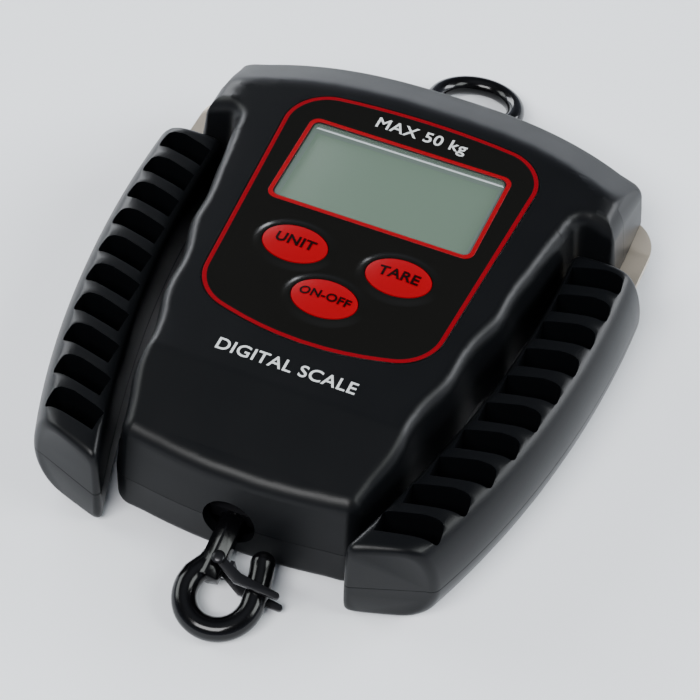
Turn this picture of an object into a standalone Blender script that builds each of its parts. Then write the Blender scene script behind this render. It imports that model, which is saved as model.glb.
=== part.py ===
"""Handheld hanging scale: a two-shell body with display and buttons, two fold-out
side handles on steel arms, a ring at the top and a safety hook at the bottom.

The scale lies on its back: +X to its right, +Y towards the ring, +Z out of its face.
The origin is on the flat back. Lengths are millimetres; the helpers turn them into metres.
"""
import math

import bmesh
import bpy
from mathutils import Matrix, Vector

MM = 0.001
GAP = 0.3                      # clearance between neighbouring pieces
FAR = 200.0

# Body
DEPTH = 28.0                   # back to face
WALL = 2.2
SEAM_Z = 10.0                  # joint between the covers, and height of the load path
TOP_Y, BOTTOM_Y = 61.7, -59.8
BOTTOM_BOW = 2.3               # how far the bottom wall curves back at its corners
ARCH_HALF, ARCH_DROP, ARCH_POWER = 45.8, 9.0, 2.6
ROLL_Y, ROLL_ARCH, ROLL_SLOPE, ROLL_EASE = 45.5, 10.5, 0.52, 4.0   # the face rolls off to the top,
SIDE_ROLL_X, SIDE_ROLL = 40.5, 0.08                  # to the outer sides of the shoulders
LOBE_Y = 29.75                 # lower end of each shoulder
LOBE_FILLET, LOBE_CORNER = 2.0, 2.4                  # radii where it meets the ridge and the outer side
CHIN_Y, CHIN_SLOPE = -37.0, 0.27                     # and slopes down to the bottom
# Height and inset of the body's outline, from the back to the face
BODY_LEVELS = ((0, 2.6), (0.4, 1.5), (1.2, 0.6), (2.6, 0.1), (SEAM_Z, 0), (18, 0.7), (24.6, 1.5),
               (26.4, 2.0), (27.5, 2.6), (DEPTH, 3.5))

# Face
DISPLAY_Y = 22.0
WINDOW = (44.4, 23.8)
WINDOW_ROUND = 1.6
OVERLAY_THICK = 0.5
OVERLAY_TOP, OVERLAY_BOTTOM = 44.0, -25.8
OVERLAY_HALF_TOP, OVERLAY_HALF_BOTTOM = 29.0, 26.4
OVERLAY_CORNER = 10.5
BUTTON_HALF = (7.1, 5.0)
BUTTON_RISE = 1.1
BUTTON_TRAVEL = 0.6
BUTTONS = {"unit": (-11.5, -1.6), "tare": (11.5, -1.6), "power": (0.0, -13.1)}
SKIRT_Z = DEPTH - WALL - GAP   # top of the flange that keeps a button in
BOARD_Z = (19.2, 20.6)

# Load path
CELL_HALF, CELL_RISE = 6.5, 4.6
CELL_Y = (-36.0, 38.0)
LUG_HALF = 3.2
PIN_R = 1.5
HOOK_PIN_Y, RING_PIN_Y = -50.5, 51.6
YOKE_IN, YOKE_OUT, YOKE_RISE = 3.6, 5.2, 2.6
YOKE_PLATE = (4.8, 6.4)
NECK_R = 1.7
HOOK_DROOP = math.radians(14.8)
HOOK_HOLE_R = 5.6
HEX_R = 2.77                   # corner radius of the hexagonal shank
HOOK_WIRE_R = 2.5
HEX_END = 20.4
BOWL = (3.9, 22.8)             # centre of the hook's bowl: across, along
BOWL_R = 6.9
RING_DROOP = math.radians(13.2)
RING_HOLE_R = 4.9
RING_WIRE_R = 2.1
RING_R = 9.5
RING_CENTRE = 25.7
LATCH_PIVOT, LATCH_END = (1.5, 16.6), (15.0, 19.9)
LATCH_Z = (2.75, 3.55)
LATCH_WIDE = 1.8
RIVET_R = 0.7

# Handles
ARM_PIVOT = (43.5, 41.5)
ARM_R = 9.7
ARM_Z = (9.0, 11.0)
ARM_IN, ARM_TIP_Y = 42.4, 6.0
PIVOT_R = 2.2
HANDLE_Z = (0.5, 22.5)
HANDLE_Y = (-63.5, 26.2)
HANDLE_IN, HANDLE_IN_BOW, HANDLE_IN_Y = 40.3, 0.00226, 19.0
HANDLE_OUT, HANDLE_OUT_BOW, HANDLE_OUT_Y = 56.9, 0.00214, 18.0
HANDLE_END_ROUND = 1.8
HANDLE_TILT = 0.29             # slope of the bottom end
SLOTS, SLOT_TOP, SLOT_PITCH, SLOT_LONG = 10, 21.53, 8.3, 5.2
SLOT_RISE = 0.22               # the slots climb outwards
SLOT_FLOOR_Z = 13.0

# Power and fasteners
BATTERY_R, BATTERY_LONG = 5.2, 44.5
BATTERY_X, BATTERY_Y, BATTERY_Z = 12.8, -28.4, 7.9
DOOR_HALF, DOOR_Y, DOOR_THICK = 19.2, (-51.5, -8.0), 1.8
COVER_SCREWS = ((27.0, 46.5), (25.0, -33.0))
SCREW_R, HEAD_R, HEAD_DEPTH = 1.3, 2.5, 1.5


# ------------------------------------------------------------------ scene helpers

def material(name, colour, roughness, metallic=0.0, alpha=1.0):
    mat = bpy.data.materials.new(name)
    mat.use_nodes = True
    shader = mat.node_tree.nodes["Principled BSDF"]
    shader.inputs["Base Color"].default_value = (*colour, 1.0)
    shader.inputs["Roughness"].default_value = roughness
    shader.inputs["Metallic"].default_value = metallic
    shader.inputs["Alpha"].default_value = alpha
    return mat


def add_mesh(bm, name="tool"):
    """Turn a bmesh in millimetres into an object in metres."""
    bmesh.ops.recalc_face_normals(bm, faces=bm.faces)
    bmesh.ops.scale(bm, vec=(MM, MM, MM), verts=bm.verts)
    mesh = bpy.data.meshes.new(name)
    bm.to_mesh(mesh)
    bm.free()
    obj = bpy.data.objects.new(name, mesh)
    parts.objects.link(obj)
    return obj


def finish(obj, name, mat):
    obj.name = obj.data.name = name
    obj.data.materials.clear()
    obj.data.materials.append(materials[mat])
    obj.data.shade_smooth()
    obj.data.set_sharp_from_angle(angle=math.radians(35))
    return obj


def bake(obj):
    """Replace an object's mesh by its evaluated mesh."""
    graph = bpy.context.evaluated_depsgraph_get()
    mesh = bpy.data.meshes.new_from_object(obj.evaluated_get(graph))
    obj.modifiers.clear()
    obj.data = mesh
    return obj


def combine(obj, tool, operation):
    """Boolean an object with a tool, which is used up."""
    parts.objects.unlink(tool)
    cutters.objects.link(tool)
    tool.hide_render = True
    tool.display_type = "WIRE"
    mod = obj.modifiers.new(tool.name, "BOOLEAN")
    mod.operation = operation
    mod.object = tool
    bake(obj)
    bpy.data.objects.remove(tool, do_unlink=True)


def cut(obj, *tools):
    for tool in tools:
        combine(obj, tool, "DIFFERENCE")
    return obj


def join(obj, *tools):
    for tool in tools:
        combine(obj, tool, "UNION")
    return obj


def copy_of(obj):
    twin = obj.copy()
    twin.data = obj.data.copy()
    parts.objects.link(twin)
    return twin


def round_edges(obj, width, segments=2, angle=40):
    mod = obj.modifiers.new("round", "BEVEL")
    mod.width = width * MM
    mod.segments = segments
    mod.limit_method = "ANGLE"
    mod.angle_limit = math.radians(angle)
    return bake(obj)


# ------------------------------------------------------------------ shapes

def solid_from(curve, place=(0, 0, 0)):
    """Make a curve a closed mesh, standing at a place."""
    source = bpy.data.objects.new("curve", curve)
    source.location = Vector(place) * MM
    parts.objects.link(source)
    graph = bpy.context.evaluated_depsgraph_get()
    mesh = bpy.data.meshes.new_from_object(source.evaluated_get(graph))
    mesh.transform(source.matrix_world)
    bpy.data.objects.remove(source, do_unlink=True)
    bm = bmesh.new()
    bm.from_mesh(mesh)
    bpy.data.meshes.remove(mesh)
    bmesh.ops.remove_doubles(bm, verts=bm.verts, dist=0.000002)
    bmesh.ops.scale(bm, vec=(1 / MM, 1 / MM, 1 / MM), verts=bm.verts)
    return add_mesh(bm)


def spline_through(curve, points, closed):
    spline = curve.splines.new("POLY")
    spline.points.add(len(points) - 1)
    for point, place in zip(spline.points, points):
        point.co = (*(Vector(place) * MM), 1)
    spline.use_cyclic_u = closed


def prism(outline, low, high):
    """A flat outline with a thickness."""
    curve = bpy.data.curves.new("outline", "CURVE")
    curve.dimensions = "2D"
    curve.fill_mode = "BOTH"
    curve.extrude = (high - low) / 2 * MM
    spline_through(curve, [(x, y, 0) for x, y in outline], closed=True)
    return solid_from(curve, (0, 0, (low + high) / 2))


def box(x, y, z):
    """A box from its two limits on each axis."""
    bm = bmesh.new()
    centre = [(a + b) / 2 for a, b in (x, y, z)]
    size = [b - a for a, b in (x, y, z)]
    bmesh.ops.create_cube(bm, size=1, matrix=Matrix.Translation(centre) @ Matrix.Diagonal((*size, 1)))
    return add_mesh(bm)


def rod(start, end, radius, sides=20):
    """A cylinder, or a regular prism, from one point to another."""
    bm = bmesh.new()
    start, end = Vector(start), Vector(end)
    along = end - start
    place = Matrix.Translation((start + end) / 2) @ along.to_track_quat("Z", "Y").to_matrix().to_4x4()
    bmesh.ops.create_cone(bm, cap_ends=True, segments=sides, radius1=radius, radius2=radius,
                          depth=along.length, matrix=place)
    return add_mesh(bm)


def upright(x, y, low, high, radius, sides=20):
    return rod((x, y, low), (x, y, high), radius, sides)


def loft(sections):
    """Skin over closed sections with equal counts of points, capped at both ends."""
    bm = bmesh.new()
    rings = [[bm.verts.new(p) for p in section] for section in sections]
    for a, b in zip(rings, rings[1:]):
        for i in range(len(a)):
            j = (i + 1) % len(a)
            bm.faces.new((a[i], a[j], b[j], b[i]))
    bm.faces.new(rings[0])
    bm.faces.new(rings[-1])
    return add_mesh(bm)


def turned(x, y, profile, sides=16, stretch=1.0):
    """A solid of revolution about a vertical line, from radius and height pairs, top to bottom."""
    mesh = bpy.data.meshes.new("profile")
    rim = [(0, profile[0][1])] + list(profile) + [(0, profile[-1][1])]
    mesh.from_pydata([(r * MM, 0, z * MM) for r, z in rim], [(i, i + 1) for i in range(len(rim) - 1)], [])
    obj = bpy.data.objects.new("turned", mesh)
    parts.objects.link(obj)
    mod = obj.modifiers.new("turn", "SCREW")
    mod.steps = mod.render_steps = sides
    mod.use_merge_vertices = True
    mod.merge_threshold = 0.00001
    bake(obj)
    obj.data.transform(Matrix.Translation((x * MM, y * MM, 0)) @ Matrix.Diagonal((1, stretch, 1, 1)))
    return obj


def wire(points, radius, closed=False, resolution=2):
    """A round wire along a list of points."""
    curve = bpy.data.curves.new("wire", "CURVE")
    curve.dimensions = "3D"
    curve.bevel_depth = radius * MM
    curve.bevel_resolution = resolution
    curve.use_fill_caps = True
    spline_through(curve, points, closed)
    return solid_from(curve)


def arc(centre, radius, start, end, steps):
    """Points on an arc between two angles in degrees."""
    turns = [math.radians(start + (end - start) * i / steps) for i in range(steps + 1)]
    return [(centre[0] + radius * math.cos(t), centre[1] + radius * math.sin(t)) for t in turns]


def ellipse(centre, a, b, steps=32):
    turns = [2 * math.pi * i / steps for i in range(steps)]
    return [(centre[0] + a * math.cos(t), centre[1] + b * math.sin(t)) for t in turns]


def rounded_box(centre, size, radius, steps=3):
    x, y = size[0] / 2 - radius, size[1] / 2 - radius
    points = []
    for sx, sy, start in ((1, 1, 0), (-1, 1, 90), (-1, -1, 180), (1, -1, 270)):
        points += arc((centre[0] + sx * x, centre[1] + sy * y), radius, start, start + 90, steps)
    return points


def mirrored(half):
    """Close a right half outline, top centre to bottom centre, with its mirror image."""
    return half + [(-x, y) for x, y in reversed(half[1:-1])]


def inset(outline, distance):
    """Move a clockwise outline inwards."""
    moved = []
    for i, (x, y) in enumerate(outline):
        here = Vector((x, y))
        before = (here - Vector(outline[i - 1])).normalized()
        after = (Vector(outline[(i + 1) % len(outline)]) - here).normalized()
        n1, n2 = Vector((before.y, -before.x)), Vector((after.y, -after.x))
        normal = (n1 + n2).normalized()
        shift = normal * distance * rounding_share(x, y) / max(normal.dot(n1), 0.6)
        moved.append((x + shift.x, y + shift.y))
    return moved


def drooping(obj, y, droop):
    """Hang a piece that was built round its own cross pin from that pin."""
    obj.location = (0, y * MM, SEAM_Z * MM)
    obj.rotation_euler.x = droop
    return obj


def turns_about(obj, x, y, z=0.0):
    """Move a piece's origin to the axis it turns about, leaving its shape in place."""
    axis = Vector((x, y, z)) * MM
    obj.data.transform(Matrix.Translation(-axis))
    obj.location = axis
    return obj


# ------------------------------------------------------------------ body

def rounding_share(x, y):
    """The face's edge is rounded less along the arched top."""
    return 1.0 - 0.5 * min(max((y - 47.0) / 5.0, 0.0), 1.0)


def arch_drop(x):
    return ARCH_DROP * (abs(x) / ARCH_HALF) ** ARCH_POWER


def side_x(y):
    """Half width of the waist: a taper with three gentle waves."""
    grown = min(max((17.0 - y) / 20.0, 0.0), 1.0)
    wave = 0.8 + 0.5 * math.cos(2 * math.pi * (y + 2.5) / 20.0)
    return 38.3 + 0.165 * (y - 17.0) + grown * wave


def body_outline():
    half = [(x, TOP_Y - arch_drop(x)) for x in (0, 8, 16, 23, 29, 34, 38, 41)]
    half += arc((43.9, 49.4), 4.7, 62, 8, 3)
    half += arc((44.4, 38.0), 4.4, 0, -90, 4)
    half += arc((42.0, 32.0), 1.6, 90, 170, 3)
    half += [(side_x(y), y) for y in range(28, -51, -3)]
    half += arc((22.3, -53.4), 4.6, -3, -78, 4)
    half += [(x, BOTTOM_Y + BOTTOM_BOW * (x / 24.0) ** 2) for x in (17, 11, 5, 0)]
    return mirrored(half)


def hollow_outline():
    half = [(x, TOP_Y - WALL - arch_drop(x)) for x in (0, 8, 16, 23, 29, 34, 38, 41)]
    half += [(44.0, 50.0), (45.6, 46.0), (45.6, 36.5), (38.0, 35.0)]
    half += [(side_x(y) - WALL, y) for y in range(29, -54, -6)]
    half += [(19.0, BOTTOM_Y + WALL + 1.8), (10.0, BOTTOM_Y + WALL + 0.5), (0.0, BOTTOM_Y + WALL)]
    return mirrored(half)


def face_drop(x, y):
    """How far the face lies below its flat part."""
    past = max(y + ROLL_ARCH * (abs(x) / ARCH_HALF) ** ARCH_POWER - ROLL_Y, 0.0)
    eased = past ** 2 / (2 * ROLL_EASE) if past < ROLL_EASE else past - ROLL_EASE / 2
    side = SIDE_ROLL * max(abs(x) - SIDE_ROLL_X, 0.0) ** 2
    return ((ROLL_SLOPE * eased) ** 3 + side ** 3) ** (1 / 3) + CHIN_SLOPE * max(CHIN_Y - y, 0.0)


def drape(obj, top):
    """Bend a block's flat roof to the face, sharing the drop over the walls below."""
    bm = bmesh.new()
    bm.from_mesh(obj.data)
    planes = [(0, y, 1) for y in (CHIN_Y, 38, 42, 45, 47, 49, 52, 55, 58)]
    planes += [(x, 0, 0) for x in (-41, -36, -30, -23, -12, 12, 23, 30, 36, 41)]
    for x, y, along in planes:
        roof = [f for f in bm.faces if f.normal.z > 0.9 and f.calc_center_median().z > (top - 0.1) * MM]
        geometry = roof + list({e for f in roof for e in f.edges}) + list({v for f in roof for v in f.verts})
        bmesh.ops.bisect_plane(bm, geom=geometry, dist=1e-7, plane_co=(x * MM, y * MM, 0),
                               plane_no=(0, 1, 0) if along else (1, 0, 0))
    for v in bm.verts:
        x, y, z = v.co / MM
        if z > SEAM_Z:
            v.co.z -= face_drop(x, y) * (z - SEAM_Z) / (top - SEAM_Z) * MM
    bmesh.ops.remove_doubles(bm, verts=bm.verts, dist=0.00005)
    bmesh.ops.triangulate(bm, faces=bm.faces)
    bm.to_mesh(obj.data)
    bm.free()
    return obj


def body_shells():
    outline = body_outline()
    block = loft([[(x, y, z) for x, y in inset(outline, d)] for z, d in BODY_LEVELS])
    join(block, shoulder_lobe(-1), shoulder_lobe(1))
    drape(block, DEPTH)
    hollow = loft([[(x, y, z) for x, y in hollow_outline()] for z in (WALL, SEAM_Z, DEPTH - WALL)])
    for v in hollow.data.vertices:
        if v.co.z > (DEPTH - WALL - 0.1) * MM:
            v.co.x *= 0.95
            v.co.y *= 0.975
    drape(hollow, DEPTH - WALL)
    cut(block, hollow)
    front, rear = block, copy_of(block)
    cut(front, box((-FAR, FAR), (-FAR, FAR), (-FAR, SEAM_Z + GAP / 2)))
    cut(rear, box((-FAR, FAR), (-FAR, FAR), (SEAM_Z - GAP / 2, FAR)))
    return front, rear


def shoulder_lobe(side):
    """A shoulder's blunt lower end beside the groove, filleted into the ridge."""
    sections = []
    for z, d in BODY_LEVELS:
        corner = max(LOBE_CORNER - d, 0.3)
        outline = [(34.0, 43.0), (34.0, 25.0), (side_x(25.0) - d - 0.02, 25.0)]
        outline += arc((42.05, LOBE_Y - LOBE_FILLET), LOBE_FILLET + d, 180, 90, 3)
        outline += arc((48.79 - d - corner, LOBE_Y + d + corner), corner, -90, 0, 3)
        outline += [(48.68 - d, 43.0)]
        sections.append([(side * x, y, max(z, 0.05)) for x, y in outline[::side]])
    return loft(sections)


def arm_clearance(side):
    """The slot that an arm sweeps as its handle folds out."""
    px, py = ARM_PIVOT
    low, high = ARM_Z[0] - GAP, ARM_Z[1] + GAP
    slot = upright(side * px, py, low, high, ARM_R + GAP, 40)
    for x, y in ((ARM_IN - GAP, py), (px, py + ARM_R + GAP)):
        join(slot, box(sorted((side * x, side * 60.0)), (15.0, y), (low, high)))
    return slot


def screw_places():
    for x, y in COVER_SCREWS:
        yield from ((-x, y), (x, y))


def boss_roof(x, y, radius):
    """Height of a boss that ends inside the front wall."""
    rim = [face_drop(x + radius * i, y + radius * j) for i in (-1, 0, 1) for j in (-1, 0, 1)]
    return DEPTH - 0.6 - max(rim)


def make_covers():
    front, rear = body_shells()
    px, py = ARM_PIVOT
    for x, y in screw_places():
        join(front, upright(x, y, SEAM_Z + GAP / 2, boss_roof(x, y, 3.0), 3.0, 16))
        join(rear, upright(x, y, WALL - 0.6, SEAM_Z - GAP / 2, 3.0, 16))
        cut(front, upright(x, y, 0, 17.5, SCREW_R + 0.1, 12))
        cut(rear, upright(x, y, -1, 12, SCREW_R + GAP, 12))
        cut(rear, upright(x, y, -1, HEAD_DEPTH + 0.4, HEAD_R + GAP, 16))
    for side in (-1, 1):
        x = side * px
        join(front, upright(x, py, SEAM_Z + 0.6, boss_roof(x, py, 3.9), 3.9, 20))
        join(rear, upright(x, py, WALL - 0.6, SEAM_Z - 0.6, 3.9, 20))
        cut(front, arm_clearance(side), upright(x, py, 9, 17, PIVOT_R + GAP, 20))
        cut(rear, arm_clearance(side), upright(x, py, 3.6, 10, PIVOT_R + GAP, 20))
    for shell in (front, rear):
        cut(shell, rod((0, BOTTOM_Y - 5, SEAM_Z), (0, BOTTOM_Y + 5, SEAM_Z), HOOK_HOLE_R, 32))
        cut(shell, rod((0, TOP_Y - 5, SEAM_Z), (0, TOP_Y + 5, SEAM_Z), RING_HOLE_R, 32))
    cut(front, prism(overlay_outline(0.15), DEPTH - OVERLAY_THICK - 0.1, DEPTH + 1))
    window = rounded_box((0, DISPLAY_Y), WINDOW, WINDOW_ROUND)
    cut(front, prism(window, DEPTH - WALL - 2, DEPTH + 1))
    for place in BUTTONS.values():
        cut(front, button_hole(place))
    cut(rear, box((-DOOR_HALF - GAP, DOOR_HALF + GAP), (DOOR_Y[0] - GAP, DOOR_Y[1] + GAP), (-1, 5)))
    join(rear, box((-5, 5), (DOOR_Y[1] - 5, DOOR_Y[1] + 4), (DOOR_THICK + GAP, 4.3)))
    cut(rear, upright(0, DOOR_Y[1] - 3.4, 0, 5, 0.9, 12))
    finish(front, "front_cover", "housing")
    finish(rear, "rear_cover", "housing")


# ------------------------------------------------------------------ face and electronics

def overlay_outline(grow=0.0):
    corner = OVERLAY_CORNER
    half = [(x, OVERLAY_TOP + grow - 0.003 * x * x) for x in (0, 8, 15)]
    half += arc((OVERLAY_HALF_TOP - corner, OVERLAY_TOP - 1.1 - corner), corner + grow, 80, 2, 5)
    half += arc((OVERLAY_HALF_BOTTOM - corner, -12.9), corner + grow, -3, -74, 5)
    half += [(x, OVERLAY_BOTTOM - grow + 0.008 * x * x) for x in (14, 7, 0)]
    return mirrored(half)


def button_hole(place):
    a, b = BUTTON_HALF
    return prism(ellipse(place, a + GAP, b + GAP), DEPTH - WALL - 2, DEPTH + 1)


def make_overlay():
    overlay = prism(overlay_outline(), DEPTH - OVERLAY_THICK, DEPTH)
    cut(overlay, prism(rounded_box((0, DISPLAY_Y), WINDOW, WINDOW_ROUND), DEPTH - 2, DEPTH + 1))
    for place in BUTTONS.values():
        cut(overlay, button_hole(place))
    finish(overlay, "graphic_overlay", "overlay")


def make_display():
    size = (WINDOW[0] - 2 * GAP, WINDOW[1] - 2 * GAP)
    pane = prism(rounded_box((0, DISPLAY_Y), size, WINDOW_ROUND - GAP), DEPTH - 1.2, DEPTH - 0.1)
    finish(pane, "display_window", "window")
    module = box((-25, 25), (DISPLAY_Y - 14.5, DISPLAY_Y + 14.5), (BOARD_Z[1] + GAP, DEPTH - WALL - GAP))
    finish(round_edges(module, 0.4, 1), "lcd_module", "lcd")
    board = box((-21.8, 21.8), (-21, 38), BOARD_Z)
    finish(board, "circuit_board", "board")


def make_button(name, place):
    a, b = BUTTON_HALF
    x, y = place
    dome = [(a * math.sin(math.radians(t)), DEPTH + 0.3 + (BUTTON_RISE - 0.3) * math.cos(math.radians(t)))
            for t in (0.5, 22, 44, 66, 90)]
    profile = dome + [(a, SKIRT_Z), (a + 1, SKIRT_Z), (a + 1, SKIRT_Z - 0.8)]
    cap = turned(0, 0, profile, 28, stretch=b / a)
    cap.location = (x * MM, y * MM, 0)
    finish(cap, name + "_button", "button")
    low = BOARD_Z[1] + 0.1
    switch = box((x - 3, x + 3), (y - 3, y + 3), (low, low + 1.8))
    join(switch, upright(x, y, low + 1, SKIRT_Z - 0.8 - BUTTON_TRAVEL - GAP, 1.7, 16))
    finish(switch, name + "_switch", "switch")


# ------------------------------------------------------------------ load path

def make_load_cell():
    z = (SEAM_Z - CELL_RISE, SEAM_Z + CELL_RISE)
    cell = box((-CELL_HALF, CELL_HALF), CELL_Y, z)
    middle = sum(CELL_Y) / 2
    for y in (middle - 9, middle + 9):
        cut(cell, rod((-20, y, SEAM_Z), (20, y, SEAM_Z), 3.4, 20))
    cut(cell, box((-20, 20), (middle - 9, middle + 9), (SEAM_Z - 1.5, SEAM_Z + 1.5)))
    for pin_y, end in ((HOOK_PIN_Y, CELL_Y[0]), (RING_PIN_Y, CELL_Y[1])):
        reach = math.copysign(2.4, pin_y)
        lug = box((-LUG_HALF, LUG_HALF), sorted((pin_y + reach, end - reach)), (SEAM_Z - 2.4, SEAM_Z + 2.4))
        join(cell, lug)
        cut(cell, rod((-9, pin_y, SEAM_Z), (9, pin_y, SEAM_Z), PIN_R + 0.1, 16))
    finish(cell, "load_cell", "aluminium")
    gauge = box((-4, 4), (middle - 5, middle + 5), (z[1] + 0.05, z[1] + 0.35))
    finish(gauge, "strain_gauge", "gauge")


def make_yoke(name, pin_y, droop, side):
    """A stirrup on its cross pin; side is the way it points along Y."""
    plate = box((-YOKE_OUT, YOKE_OUT), sorted(side * s for s in YOKE_PLATE), (-YOKE_RISE, YOKE_RISE))
    for x in (-1, 1):
        cheek = box(sorted((x * YOKE_IN, x * YOKE_OUT)), sorted((-2.4 * side, side * (YOKE_PLATE[1] - 0.5))),
                    (-YOKE_RISE, YOKE_RISE))
        join(plate, cheek)
    cut(plate, rod((-9, 0, 0), (9, 0, 0), PIN_R + 0.1, 16),
        rod((0, 0, 0), (0, 9 * side, 0), NECK_R + 0.15, 16))
    finish(drooping(plate, pin_y, droop), name + "_yoke", "latch")
    pin = rod((-YOKE_OUT - 1, 0, 0), (YOKE_OUT + 1, 0, 0), PIN_R, 16)
    finish(drooping(pin, pin_y, droop), name + "_pin", "steel")
    nut = rod((0, 3.0 * side, 0), (0, (YOKE_PLATE[0] - 0.2) * side, 0), 3.0, 6)
    cut(nut, rod((0, 0, 0), (0, 9 * side, 0), NECK_R + 0.05, 16))
    finish(drooping(nut, pin_y, droop), name + "_nut", "latch")


def make_hook():
    """The hook is built pointing along -Y from its pin, with its bowl to the right."""
    hook = rod((0, -3.1, 0), (0, -8.0, 0), NECK_R, 16)
    shank = rod((0, -6.7, 0), (0, -HEX_END, 0), HEX_R, 6)
    join(hook, shank)
    x, s = BOWL
    bowl = arc((x, -s), BOWL_R, 172, 364, 16)
    lead = [(-0.2, -16.0), (-1.4, -18.0), (-2.4, -20.0)]
    tip = [(x + BOWL_R - 0.3, -19.4), (x + BOWL_R - 0.9, -16.4), (x + BOWL_R - 1.6, -13.6)]
    points = [(px, py, -0.2 if i < 2 else 0) for i, (px, py) in enumerate(lead + bowl + tip)]
    join(hook, wire(points, HOOK_WIRE_R))
    join(hook, hook_tip(points[-1]))
    x, s = LATCH_PIVOT
    cut(hook, rod((x, -s, -9), (x, -s, 9), RIVET_R + 0.15, 16))
    finish(drooping(hook, HOOK_PIN_Y, HOOK_DROOP), "hook", "hook")


def hook_tip(place):
    bm = bmesh.new()
    bmesh.ops.create_uvsphere(bm, u_segments=16, v_segments=8, radius=HOOK_WIRE_R,
                              matrix=Matrix.Translation(place))
    return add_mesh(bm)


def latch_arm(z):
    """One flat arm of the latch, from its rivet to its rounded free end."""
    x0, s0 = LATCH_PIVOT
    x1, s1 = LATCH_END
    heading = math.degrees(math.atan2(s0 - s1, x1 - x0))
    half = LATCH_WIDE / 2
    outline = arc((x0, -s0), half, heading + 270, heading + 90, 6)
    outline += [(x0 + 5.5, -s0 - 2.4 + half)]
    outline += arc((x1, -s1), half * 0.8, heading + 90, heading - 90, 6)
    outline += [(x0 + 4.8, -s0 - 2.8 - half)]
    return prism(outline, *z)


def make_latch():
    low, high = LATCH_Z
    latch = join(latch_arm((low, high)), latch_arm((-high, -low)))
    x, s = LATCH_PIVOT
    web = box((x + 2.5, x + 3.3), (-s - 0.8, -s + 0.4), (-high + 0.2, high - 0.2))
    join(latch, web)
    cut(latch, rod((x, -s, -9), (x, -s, 9), RIVET_R + 0.15, 16))
    latch.data.transform(Matrix.Translation((-x * MM, s * MM, 0)))
    finish(drooping(latch, HOOK_PIN_Y, HOOK_DROOP), "hook_latch", "latch")
    latch.location += latch.rotation_euler.to_matrix() @ (Vector((x, -s, 0)) * MM)
    rivet = turned(x, -s, ((0.6, 4.3), (1.1, 4.0), (1.1, 3.75), (RIVET_R, 3.75), (RIVET_R, -4.6), (1.3, -4.6),
                           (1.3, -5.0)))
    finish(drooping(rivet, HOOK_PIN_Y, HOOK_DROOP), "latch_rivet", "steel")
    turns = [(x + 1.15 * math.cos(t), -s + 1.15 * math.sin(t), -3.9 - 0.42 * t / (2 * math.pi))
             for t in [math.radians(-20 + 40 * i) for i in range(12)]]
    spring = wire([(x + 5.0, -s - 1.8, -3.9)] + turns, 0.17, resolution=0)
    finish(drooping(spring, HOOK_PIN_Y, HOOK_DROOP), "latch_spring", "steel")


def make_ring():
    loop = [(x, y, 0) for x, y in ellipse((0, RING_CENTRE), RING_R, RING_R, 36)]
    ring = wire(loop, RING_WIRE_R, closed=True)
    join(ring, rod((0, 6.7, 0), (0, RING_CENTRE - RING_R, 0), RING_WIRE_R, 20))
    join(ring, rod((0, 3.1, 0), (0, 8.0, 0), NECK_R, 16))
    finish(drooping(ring, RING_PIN_Y, -RING_DROOP), "top_ring", "hook")


# ------------------------------------------------------------------ handles

def handle_in(y):
    return HANDLE_IN - HANDLE_IN_BOW * (y - HANDLE_IN_Y) ** 2


def handle_out(y):
    return HANDLE_OUT - HANDLE_OUT_BOW * (y - HANDLE_OUT_Y) ** 2


def handle_section(y):
    """Section of the right handle, as across and height pairs."""
    a, b = handle_in(y), handle_out(y)
    low, high = HANDLE_Z
    return [(a, 10), (a, high - 2.4), (a + 0.7, high - 0.7), (a + 2.4, high),
            (b - 8.4, high), (b - 6.0, high - 0.4),
            (b - 3.8, high - 1.5), (b - 2.0, 18.4), (b - 0.7, 14.4), (b, 10), (b - 0.3, 6.4), (b - 1.6, 3.2),
            (b - 4.0, 1.1), (b - 6.6, low), (a + 2.4, low), (a + 0.7, low + 0.6), (a, low + 2.2)]


def handle_block():
    """The right handle's solid, its ends rounded by shrinking their sections."""
    bottom, top = HANDLE_Y
    shrunk = [HANDLE_END_ROUND * (1 - math.cos(math.radians(t))) for t in (90, 66, 42, 20, 0)]
    inward = [HANDLE_END_ROUND * (1 - math.sin(math.radians(t))) for t in (90, 66, 42, 20, 0)]
    stations = [(top - s, d, 0.0) for s, d in zip(inward, shrunk)]
    stations += [(y, 0.0, HANDLE_TILT * max(0, (-20 - y) / 40) ** 2) for y in range(16, -52, -7)]
    stations += [(bottom + 1.8 + s, d, HANDLE_TILT) for s, d in zip(reversed(inward), reversed(shrunk))]
    middle_z, half_z = sum(HANDLE_Z) / 2, (HANDLE_Z[1] - HANDLE_Z[0]) / 2
    sections = []
    for y, d, tilt in stations:
        centre, half = (handle_in(y) + handle_out(y)) / 2, (handle_out(y) - handle_in(y)) / 2
        section = []
        for x, z in handle_section(y):
            px = centre + (x - centre) * (1 - d / half)
            pz = middle_z + (z - middle_z) * (1 - d / half_z)
            section.append((px, y + tilt * (x - centre), pz))
        sections.append(section)
    return loft(sections)


def grip_slot(i):
    """A pocket across the handle's face."""
    y = SLOT_TOP - SLOT_PITCH * i
    a, b = handle_in(y) + 1.2, handle_out(y) - 4.2
    rise = SLOT_RISE * (b - a)
    outline = [(a, y), (b - 2.5, y + rise - 0.4), (b - 0.6, y + rise - 1.2), (b, y + rise - 2.6),
               (b, y + rise - SLOT_LONG + 0.8), (b - 0.8, y + rise - SLOT_LONG), (a, y - SLOT_LONG)]
    return prism(outline, SLOT_FLOOR_Z, HANDLE_Z[1] + 5)


def tongue_clearance():
    low, high = ARM_Z[0] - GAP, ARM_Z[1] + GAP
    return box((ARM_IN - GAP, ARM_PIVOT[0] + ARM_R + GAP), (ARM_TIP_Y - GAP, 30), (low, high))


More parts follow.
